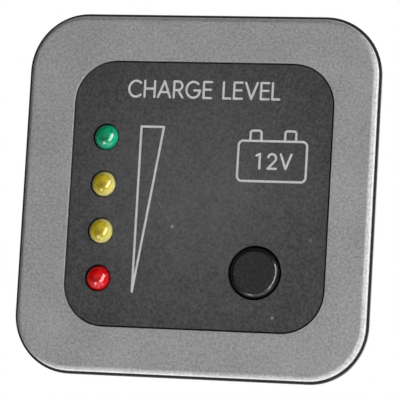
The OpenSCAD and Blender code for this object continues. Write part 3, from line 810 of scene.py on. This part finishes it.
def part_middle(node, x, z):
    """The middle, from left to right, of the part that a bent lead at (x, z) belongs to."""
    if node == "resistor_leads":
        boxes = islands("resistors")
    else:
        boxes = [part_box("zener_diode"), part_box("protection_diode")]
    middles = [(low + high) / 2 for low, high in boxes]
    level = [middle.x for middle in middles if abs(middle.z - z) < 0.5 * MM]
    return min(level, key=lambda middle_x: abs(middle_x - x))


# --- Build ---

frame_black = moulded_plastic("frame_black", (0.018, 0.018, 0.019), 0.3)
body_black = moulded_plastic(
    "body_black", (0.014, 0.014, 0.015), 0.55,
    grain=0.35 * MM, depth=0.02 * MM, shine=0.28,
)
button_black = moulded_plastic(
    "button_black", (0.008, 0.008, 0.0083), 0.18,
    grain=0.15 * MM, depth=0.003 * MM, shine=0.9, mottle=0.5,
)
switch_black = moulded_plastic("switch_black", (0.02, 0.02, 0.021), 0.45)
chip_black = moulded_plastic("chip_black", (0.022, 0.022, 0.023), 0.55, grain=0.1 * MM)
phenolic = moulded_plastic("switch_phenolic", (0.16, 0.085, 0.035), 0.5)
nylon = moulded_plastic("natural_nylon", (0.62, 0.6, 0.54), 0.45, coat=0.1)
tinned = bare_metal("tinned_wire", (0.72, 0.71, 0.69), 0.3)
brass = bare_metal("terminal_brass", (0.80, 0.66, 0.36), 0.28, stretch=(1, 12, 1))
contact_metal = bare_metal("contact_metal", (0.82, 0.78, 0.68), 0.22)
spring_steel = bare_metal("spring_steel", (0.56, 0.57, 0.58), 0.25)
screw_steel = bare_metal("screw_steel", (0.62, 0.62, 0.60), 0.32)

make_trim()
frame["nodes"]["printed_legend"].data.materials[0] = legend_ink()
for node in ["resistor_leads", "diode_leads", "capacitor_leads"]:
    frame["nodes"][node].data.materials[0] = tinned

# Node, slot, width of its rounded edges in millimetres, material
softened_nodes = [
    ("mounting_frame", "frame_black", 0.14, frame_black),
    ("label_overlay", "label_grey", 0.03, label_film()),
    ("module_front", "body_black", 0.1, body_black),
    ("rear_shell", "body_black", 0.15, body_black),
    ("shell_screws", "screw_steel", 0.08, screw_steel),
    ("led_leads", "tinned_wire", 0.05, tinned),
    ("led_spacers", "natural_nylon", 0.1, nylon),
    ("switch_plunger", "natural_nylon", 0.06, nylon),
    ("contact_bridge", "contact_metal", 0.03, contact_metal),
    ("switch_housing", "switch_black", 0.08, switch_black),
    ("switch_base", "switch_phenolic", 0.06, phenolic),
    ("switch_contacts", "contact_metal", 0.03, contact_metal),
    ("circuit_board", "board_green", 0.06, solder_mask()),
    ("comparator_chip", "chip_black", 0.12, chip_black),
    ("chip_pins", "tinned_wire", 0.03, tinned),
    ("terminal_blades", "terminal_brass", 0.08, brass),
]
for node, slot, width, material in softened_nodes:
    make_softened(node, slot, width * MM, material)

green = led_epoxy("led_green", (0.0005, 0.29, 0.13), (0.005, 0.62, 0.30), (0.02, 0.50, 0.28))
yellow = led_epoxy("led_yellow", (0.52, 0.39, 0.012), (0.86, 0.73, 0.04), (0.92, 0.86, 0.38))
red = led_epoxy("led_red", (0.72, 0.0, 0.002), (1.0, 0.002, 0.004), (0.56, 0.004, 0.01))
make_led("led_green", "led_green", green, tinned)
make_led("led_yellow_high", "led_yellow", yellow, tinned)
make_led("led_yellow_low", "led_yellow", yellow, tinned)
make_led("led_red", "led_red", red, tinned)
make_button(button_black)
make_spring(spring_steel)

band_colours = {
    "band_brown": (0.11, 0.04, 0.015),
    "band_black": (0.01, 0.01, 0.01),
    "band_orange": (0.72, 0.2, 0.02),
    "band_gold": (0.55, 0.38, 0.1),
}
beige = glazed("resistor_beige", (0.56, 0.42, 0.24))
make_resistors(beige, [glazed(name, colour) for name, colour in band_colours.items()])
zener_glass = glazed("zener_glass", (0.48, 0.14, 0.04))
make_diode("zener_diode", "zener_glass", zener_glass, glazed("zener_band", (0.01, 0.01, 0.01)))
make_diode("protection_diode", "diode_black", chip_black, glazed("diode_band", (0.6, 0.6, 0.6)))
make_capacitor(
    glazed("capacitor_sleeve", (0.012, 0.016, 0.07)),
    glazed("capacitor_stripe", (0.5, 0.53, 0.58)),
    bare_metal("capacitor_end", (0.75, 0.75, 0.76), 0.3),
)
make_solder(bare_metal("solder", (0.68, 0.68, 0.67), 0.25))


# --- Camera ---

LENS = 270
CAMERA_DISTANCE = 0.5721
CAMERA_AZIMUTH = math.radians(15.59)
CAMERA_ELEVATION = math.radians(-5.7)
CAMERA_ROLL = math.radians(3.31)
TARGET = Vector((1.08 * MM, label_low.y, -0.84 * MM))


def direction(azimuth, elevation):
    """The unit vector from the tester towards an azimuth and an elevation. Azimuth 0 is in front, and a
    quarter turn is its right."""
    level = math.cos(elevation)
    return Vector((math.sin(azimuth) * level, -math.cos(azimuth) * level, math.sin(elevation)))


camera_data = bpy.data.cameras.new("Camera")
camera_data.lens = LENS
camera_data.clip_start = 0.01
camera_data.clip_end = 20
camera = bpy.data.objects.new("Camera", camera_data)
bpy.context.scene.collection.objects.link(camera)
backwards = direction(CAMERA_AZIMUTH, CAMERA_ELEVATION)
camera.location = TARGET + CAMERA_DISTANCE * backwards
camera.rotation_mode = "QUATERNION"
facing = (-backwards).to_track_quat("-Z", "Y")
camera.rotation_quaternion = facing @ Quaternion((0, 0, 1), CAMERA_ROLL)
bpy.context.scene.camera = camera


# --- Floor and light ---

FLOOR_Z = -0.85
FLOOR_HALF = 4.0
FLOOR_GLOW = 0.9
BRIGHT_SIDE = (0.6, -0.76, -0.25)
MIDDLE = Vector((0, 0, 0))


def make_floor():
    """A plain pale floor well below the tester, with a faint mottle. Its glow is for the camera alone, so
    that it doesn't light the tester."""
    shape = bmesh.new()
    signs = [(-1, -1), (1, -1), (1, 1), (-1, 1)]
    shape.faces.new([shape.verts.new((x * FLOOR_HALF, y * FLOOR_HALF, FLOOR_Z)) for x, y in signs])
    floor = new_piece("floor", shape)
    material, tree, shader = new_material("floor", (0.8, 0.8, 0.8))
    mottle = noise(tree, 40 * MM, detail=3)
    colours = blended(tree, ranged(tree, mottle, 0, 1), (0.78, 0.78, 0.78), (0.82, 0.82, 0.82))
    seen = add(tree, "ShaderNodeLightPath").outputs["Is Camera Ray"]
    feed(
        tree, shader, Base_Color=colours, Roughness=0.7,
        Emission_Color=colours, Emission_Strength=times(tree, seen, FLOOR_GLOW),
    )
    floor.data.materials.append(material)


def area_light(name, place, size, radiance, roll=0):
    """A soft rectangular light at a place, turned towards the tester. size is its width and height."""
    width, height = size
    light = bpy.data.lights.new(name, "AREA")
    light.shape = "RECTANGLE"
    light.size = width
    light.size_y = height
    light.energy = radiance * math.pi * width * height
    lamp = bpy.data.objects.new(name, light)
    bpy.context.scene.collection.objects.link(lamp)
    lamp.location = place
    lamp.rotation_mode = "QUATERNION"
    facing = (MIDDLE - place).to_track_quat("-Z", "Y")
    lamp.rotation_quaternion = facing @ Quaternion((0, 0, 1), math.radians(roll))
    lamp.visible_camera = False


def around(azimuth, elevation, distance):
    """A place at this distance from the tester, its direction in degrees."""
    return distance * direction(math.radians(azimuth), math.radians(elevation))


def make_world(dark, bright):
    """White for the camera, in a room that is brighter at its front right than at its back left."""
    world = bpy.data.worlds.new("Studio")
    bpy.context.scene.world = world
    world.use_nodes = True
    tree = world.node_tree
    outwards = add(tree, "ShaderNodeTexCoord").outputs["Generated"]
    towards_bright = add(
        tree, "ShaderNodeVectorMath", {0: outwards, 1: BRIGHT_SIDE}, operation="DOT_PRODUCT"
    ).outputs["Value"]
    room = ranged(tree, towards_bright, dark, bright, 0, 0.9)
    seen = add(tree, "ShaderNodeLightPath").outputs["Is Camera Ray"]
    strength = add(tree, "ShaderNodeMath", {0: room, 1: seen}, operation="MAXIMUM").outputs[0]
    feed(tree, tree.nodes["Background"], Color=(1, 1, 1, 1), Strength=strength)


make_floor()
make_world(dark=0.02, bright=0.2)
area_light("key", around(46, -5, 1.3), (0.56, 2.28), radiance=5.8, roll=-25)
area_light("side", around(125, 0, 0.8), (0.9, 0.9), radiance=4.5)
area_light("back_side", around(155, 5, 0.9), (0.7, 0.8), radiance=3)
area_light("low_panel", Vector((0, 0.35, -0.6)), (1.2, 0.8), radiance=3.0)
area_light("top_panel", Vector((0, 0.6, 0.5)), (1.2, 0.7), radiance=1.5)
area_light("front_fill", around(-14, 4, 0.8), (0.55, 0.55), radiance=0.17)
area_light("low_lamp", around(-32, -51, 0.4), (0.11, 0.11), radiance=7)
bpy.context.scene.view_settings.view_transform = "Standard"
